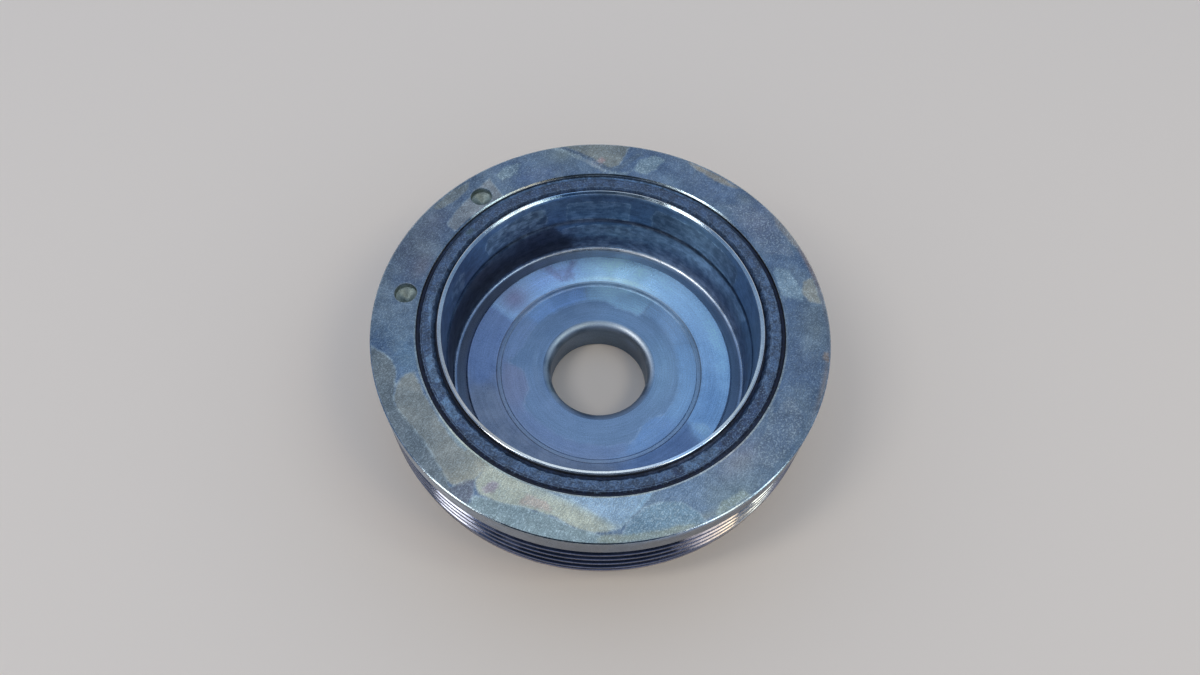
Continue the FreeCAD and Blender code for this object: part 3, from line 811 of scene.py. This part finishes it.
marks = [
    ([(91, 54), (92.5, 55), (94.3, 53.6), (92.6, 52.6)], (124, 116, 132), 0.7, 0, 0),
    ([(90.8, 49.8), (91.8, 49.2), (107.4, 60.2), (106, 60.4)], (106, 130, 152), 0.6, 0, 0.9),
    ([(82.6, 50.8), (86, 49.8), (90, 49.6), (90, 48.6), (84, 48.6)], (104, 132, 158), 0.6, 0, 1),
    ([(73.5, 57.6), (77, 58), (81, 55), (82, 51), (78, 50.2), (75, 53)], (96, 124, 146), 0.55, 0, 1),
    ([(9, 54.2), (13, 54.6), (20, 53.6), (22.5, 50.4), (20, 48.8), (12.5, 48.8), (11, 51)], (96, 126, 156),
     0.6, 0, 0.8),
    ([(117, 57.4), (121, 58), (125, 56.4), (124.6, 53.6), (119, 54)], (92, 118, 140), 0.5, 0, 1),
    ([(299, 59.6), (302, 57), (308, 57.4), (309, 59.6)], (112, 136, 146), 0.6, 0, 1),
    ([(325, 51.4), (329, 51.4), (333, 49), (331, 48.6)], (92, 114, 138), 0.6, 0, 0.3),
    ([(316, 57.4), (322, 58.4), (334, 57), (338, 52), (330, 50.4), (318, 52)], (82, 102, 130), 0.4, 0, 0.45),
    ([(24, 57), (32, 58), (44, 57), (50, 52), (42, 49.6), (28, 50)], (82, 100, 128), 0.35, 0, 0.45),
    ([(351, 59.6), (351.4, 58.2), (353.6, 58.2), (354, 59.6)], (104, 100, 98), 0.6, 0, 0.2),
]
# the layers, from the lowest, with the conversion for each colour
filmLayers = {
    "film": [(films, metal), (frontFilms, metalInGlow)],
    "lobe": [(lobes, metal), (frontLobes, metalInGlow)],
    "mark": [(marks, metal), (frontMarks, metalInGlow)],
}


def ringCorners(size):
    root = size["radius"] - size["depth"]
    fall = size["depth"] * math.tan(math.radians(size["angle"] / 2))
    bore = size["radius"] - size["wall"]
    corners = []
    for number in reversed(range(size["grooves"])):
        upper = size["top"] - size["plainBand"] - number * size["pitch"]
        lower = upper - size["opening"]
        lip = size["flangeRadius"] if number == size["grooves"] - 1 else size["radius"]
        rise = (size["radius"] - lip) * math.tan(math.radians(size["angle"] / 2))
        corners += [
            (lip, lower + rise, size["crestRounding"], "groove"),
            (root, lower + fall, size["rootRounding"], "groove"),
            (root, upper - fall, size["rootRounding"], "underFlank"),
            (size["radius"], upper, size["crestRounding"], "crest" if number else "band"),
        ]
    inward = np.array(holes["lines"])  # rows at the grid lines of the balancing holes
    face = [*size["faceRows"], *(holes["circle"] + inward[::-1]), *(holes["circle"] - inward[1:])]
    boreFall = size["boreBevel"] * math.tan(math.radians(size["bevelAngle"]))
    return corners + [
        (size["radius"], size["top"] - size["outerFall"], size["edgeBreak"], "bevel"),
        (size["radius"] - size["outerBevel"], size["top"], size["edgeBreak"], "face"),
        *[(radius, size["top"], 0, "face") for radius in face],
        (bore + size["boreBevel"], size["top"], size["edgeBreak"], "boreBevel"),
        (bore, size["top"] - boreFall, size["edgeBreak"], "bore"),
        (bore, size["bottom"] + size["bottomBevel"], size["edgeBreak"], "bevel"),
        (bore + size["bottomBevel"], size["bottom"], size["edgeBreak"], "under"),
        (size["flangeRadius"] - size["bottomBevel"], size["bottom"], size["edgeBreak"], "bevel"),
        (size["flangeRadius"], size["bottom"] + size["bottomBevel"], size["edgeBreak"], "flange"),
    ]


# Angles spaced evenly, but close to a balancing hole they follow its grid lines.
def ringAngles():
    even = np.linspace(0, 360, ring["turns"], endpoint=False)
    lines = np.array(holes["lines"])
    lines = np.degrees(np.concatenate([-lines[:0:-1], lines]) / holes["circle"])
    for middle in holes["angles"]:
        even = even[np.abs(even - middle) > lines[-1] + holes["clearance"]]
        even = np.concatenate([even, middle + lines])
    return np.radians(np.sort(even))[:, None]


# A balancing hole: square rings of the grid round its middle are drawn onto circles, out to where
# the grid is left as it is, and each ring sinks to its depth in the drilled hole.
def drillHoles(angles, radius, height):
    angles = np.broadcast_to(angles, radius.shape).copy()
    onFace = height > ring["top"] - 1e-6
    for middle in holes["angles"]:
        along = np.radians(angleBetween(angles, middle)) * holes["circle"]
        out = radius - holes["circle"]
        ringSize = np.maximum(np.abs(along), np.abs(out))
        away = np.hypot(along, out) + 1e-9
        isHole = onFace & (ringSize < holes["lines"][-1] - 1e-6)
        target = np.interp(ringSize, holes["lines"], holes["radii"])
        height = height - np.where(isHole, np.interp(ringSize, holes["lines"], holes["depths"]), 0)
        factor = np.where(isHole, target / away, 1.0)
        radius = holes["circle"] + out * factor
        angles = angles + along * (factor - 1) / holes["circle"]
    return angles, radius, height


def makeRing():
    corners = ringCorners(ring)
    section = drawSection(corners, spacing=2.0)
    angles = ringAngles()
    turns = len(angles)
    radius, height = repeatSection(section, turns)
    around = np.broadcast_to(angles, radius.shape)
    isFace = height > ring["top"] - 0.4
    isSide = (radius > ring["radius"] - ring["depth"] - 0.1) & ~isFace
    isBand = isSide & (height > ring["top"] - ring["plainBand"])
    isTrack = isSide & ~isBand
    colours, roughness = layMetal(corners, section, ringFinishAndShade, turns)
    # painted highlight and shade on the edge bevels come with the face's stains
    colours = addStains(colours, isFace, around, radius, faceStainsAndShading, metal)
    # painted highlights and shade on the belt track
    colours = addStains(colours, isTrack, around, height, trackHighlightsAndShade, metal)
    # painted highlights and shade on the plain band
    colours = addStains(colours, isBand, around, height, bandHighlightsAndShade, metal)
    angles, radius, height = drillHoles(angles, radius, height)
    inHole = isFace & (height < ring["top"] - 0.5)
    piece = turnSection("pulleyRingGrooved", angles, radius, height)
    storeColour(piece, "tint", np.where(inHole[..., None], metal(*holes["bottomColour"]), colours))
    storeValue(piece, "rough", np.where(inHole, holes["roughness"], roughness))
    storeValue(piece, "edge", section[:, 2] * ~isTrack)
    storeValue(piece, "face", (isFace & ~inHole).astype(float))
    isFlat = isFace & ~inHole & (height > ring["top"] - 0.01)
    for name, groups in filmLayers.items():
        storeFilms(piece, name, layFilms(angles, radius, isFlat, groups, holes["circle"]))
    return piece


def makeRingIron():
    material, tree, shader = startMaterial("ringIron")
    tint = readAttribute(tree, "tint").outputs["Color"]
    face = readAttribute(tree, "face").outputs["Fac"]
    cloud = useGroup(tree, blotches, Size=8.0, Detail=5.0)[0]
    mottle = useGroup(tree, blotches, Size=2.2, Detail=5.0)[0]
    drift = useGroup(tree, blotches, Size=16.0, Detail=3.0, Low=0.4, High=0.65)[0]
    grain = useGroup(tree, blotches, Size=0.30, Detail=4.0)[0]
    speck = useGroup(tree, blotches, Size=0.6, Detail=4.0, Low=0.50, High=0.64)[0]
    lines = useGroup(tree, turnedGrain, Spacing=0.25, Breaks=5.0)[0]
    hairs = useGroup(tree, hairlines, Spacing=0.22, Turn=0.5)[0]
    tint = mixColour(tree, multiply(tree, drift, face, 0.35), tint, (*metal(76, 98, 118), 1))
    light = (*metal(124, 152, 180), 1)
    breaks = spread(tree, mottle, 0, 1, 0.2, 1.0)
    for name, soft, fray in (("film", 0.5, 0.22), ("lobe", 0.3, 0.2), ("mark", 0.5, 0.3)):
        tint = addFilms(tree, tint, name, light, breaks, speck, soft, fray, rim=0.5)
    tint = vary(tree, tint, cloud, amount=0.22, swing=0.45)
    tint = vary(tree, tint, mottle, amount=0.22, swing=0.4)
    tint = mixColour(tree, multiply(tree, speck, face, 0.17), tint, light)
    tint = vary(tree, tint, grain, amount=0.36, swing=0.5)
    tint = vary(tree, tint, hairs, amount=multiply(tree, face, 0.28), swing=0.4)
    offFace = calculate(tree, "SUBTRACT", 1.0, face)
    tint = vary(tree, tint, lines, amount=multiply(tree, offFace, 0.25), swing=0.5)
    finishMetal(tree, shader, tint, cloud, bare=(0.50, 0.56, 0.62), least=0.05, most=0.35)
    relief = mixColour(tree, face, lines, calculate(tree, "ADD", grain, multiply(tree, hairs, 0.4)))
    raiseSurface(tree, shader, relief, distance=0.004 * mm)
    return material


dressPiece(makeRing(), "pulley_ring", makeRingIron())


# Floor, light and camera

studio = {
    "floorSize": 4.0, "floorColour": (0.92, 0.80, 0.68), "floorRoughness": 0.75,
    "horizonColour": (0.96, 0.98, 1.02), "horizonHeight": 0.15, "overheadHeight": 0.75,
    "shadeColour": (0.05, 0.07, 0.10), "shadeAxis": (0, -0.37, 0.93), "shadeAngles": (20, 26),
    "glowAxis": (0, 0.208, 0.978), "glowAngles": (6, 16),
}
# azimuth and elevation from the middle of the part, distance, width, height, radiance, colour
lights = {
    "key": (205, 57, 1.1, 0.15, 0.46, 7.5, (1.0, 0.99, 0.95)),
    "side": (349, 55, 1.1, 0.10, 0.36, 5.5, (0.94, 1.0, 0.88)),
    "golden": (329, 59, 1.1, 0.18, 0.30, 4.5, (1.0, 0.80, 0.52)),
}
lens = {
    "focal": 900.0, "frameWidth": 1200.0, "sensor": 36.0, "distance": 0.23583, "target": 0.039,
    "elevation": 1.0361948, "roll": -0.0497384, "aimRight": 1.47452, "aimUp": -18.18542,
}


def makeFloor():
    half = studio["floorSize"]
    mesh = bpy.data.meshes.new("floor")
    corners = [(-half, -half, 0), (half, -half, 0), (half, half, 0), (-half, half, 0)]
    mesh.from_pydata(corners, [], [(0, 1, 2, 3)])
    floor = bpy.data.objects.new("floor", mesh)
    bpy.context.scene.collection.objects.link(floor)
    material, tree, shader = startMaterial("paleFloor")
    shader.inputs["Base Color"].default_value = (*studio["floorColour"], 1)
    shader.inputs["Roughness"].default_value = studio["floorRoughness"]
    shader.inputs["Specular IOR Level"].default_value = 0.2
    mesh.materials.append(material)


def makeLight(name, azimuth, elevation, distance, width, height, radiance, colour):
    around, above = math.radians(azimuth), math.radians(elevation)
    way = np.array([math.cos(above) * math.cos(around), math.cos(above) * math.sin(around), math.sin(above)])
    light = bpy.data.lights.new(name, "AREA")
    light.shape, light.size, light.size_y = "RECTANGLE", width, height
    light.energy, light.color = radiance * width * height * math.pi, colour
    lamp = bpy.data.objects.new(name, light)
    bpy.context.scene.collection.objects.link(lamp)
    forward = -way
    right = np.cross(forward, (0, 0, 1))
    right /= np.linalg.norm(right)
    placeObject(lamp, way * distance, right, np.cross(right, forward), -forward)


def placeObject(item, place, right, up, back):
    turn = np.eye(4)
    turn[:3, 0], turn[:3, 1], turn[:3, 2], turn[:3, 3] = right, up, back, place
    item.matrix_world = Matrix(turn)


# The camera looks from the front at the middle of the top face, turned by two small angles and a
# roll so that the part stands where it does in the photograph's frame.
def makeCamera():
    high = lens["elevation"]
    back = np.array([0, -math.cos(high), math.sin(high)])
    right = np.array([1.0, 0, 0])
    axes = np.stack([right, np.cross(right, -back), -back])
    yaw = math.atan2(lens["aimRight"], lens["focal"])
    pitch = math.atan2(lens["aimUp"], math.hypot(lens["focal"], lens["aimRight"]))
    yawAndPitch = Matrix.Rotation(yaw, 3, "Y") @ Matrix.Rotation(pitch, 3, "X")
    axes = np.array(yawAndPitch @ Matrix.Rotation(lens["roll"], 3, "Z")) @ axes
    data = bpy.data.cameras.new("camera")
    data.sensor_width = lens["sensor"]
    data.lens = lens["focal"] / lens["frameWidth"] * lens["sensor"]
    data.clip_start = 0.01
    camera = bpy.data.objects.new("camera", data)
    bpy.context.scene.collection.objects.link(camera)
    placeObject(camera, back * lens["distance"] + (0, 0, lens["target"]), axes[0], axes[1], -axes[2])
    bpy.context.scene.camera = camera


def zone(tree, direction, axis, angles):  # 1 where a direction is within the first angle of the axis
    inputs = {0: direction, 1: axis}
    along = addNode(tree, "ShaderNodeVectorMath", inputs, operation="DOT_PRODUCT").outputs["Value"]
    near, far = [math.cos(math.radians(angle)) for angle in angles]
    return spread(tree, along, far, near)


# Pale at the horizon and darker blue above, with a glow right overhead and a dark place beside it, on
# the camera's side.
def makeWorld():
    world = bpy.data.worlds.new("studio")
    bpy.context.scene.world = world
    world.use_nodes = True
    tree = world.node_tree
    direction = addNode(tree, "ShaderNodeTexCoord").outputs["Generated"]
    up = addNode(tree, "ShaderNodeSeparateXYZ", {0: direction}).outputs[2]
    rise = spread(tree, up, studio["horizonHeight"], studio["overheadHeight"])
    colour = mixColour(tree, rise, (*studio["horizonColour"], 1), (*overhead, 1))
    glowing = zone(tree, direction, studio["glowAxis"], studio["glowAngles"])
    colour = mixColour(tree, glowing, colour, (*(overhead + glow), 1))
    shaded = zone(tree, direction, studio["shadeAxis"], studio["shadeAngles"])
    colour = mixColour(tree, shaded, colour, (*studio["shadeColour"], 1))
    tree.links.new(colour, tree.nodes["Background"].inputs["Color"])


makeFloor()
makeWorld()
for name, values in lights.items():
    makeLight(name, *values)
makeCamera()
bpy.context.scene.view_settings.view_transform = "Standard"
print("studio made")
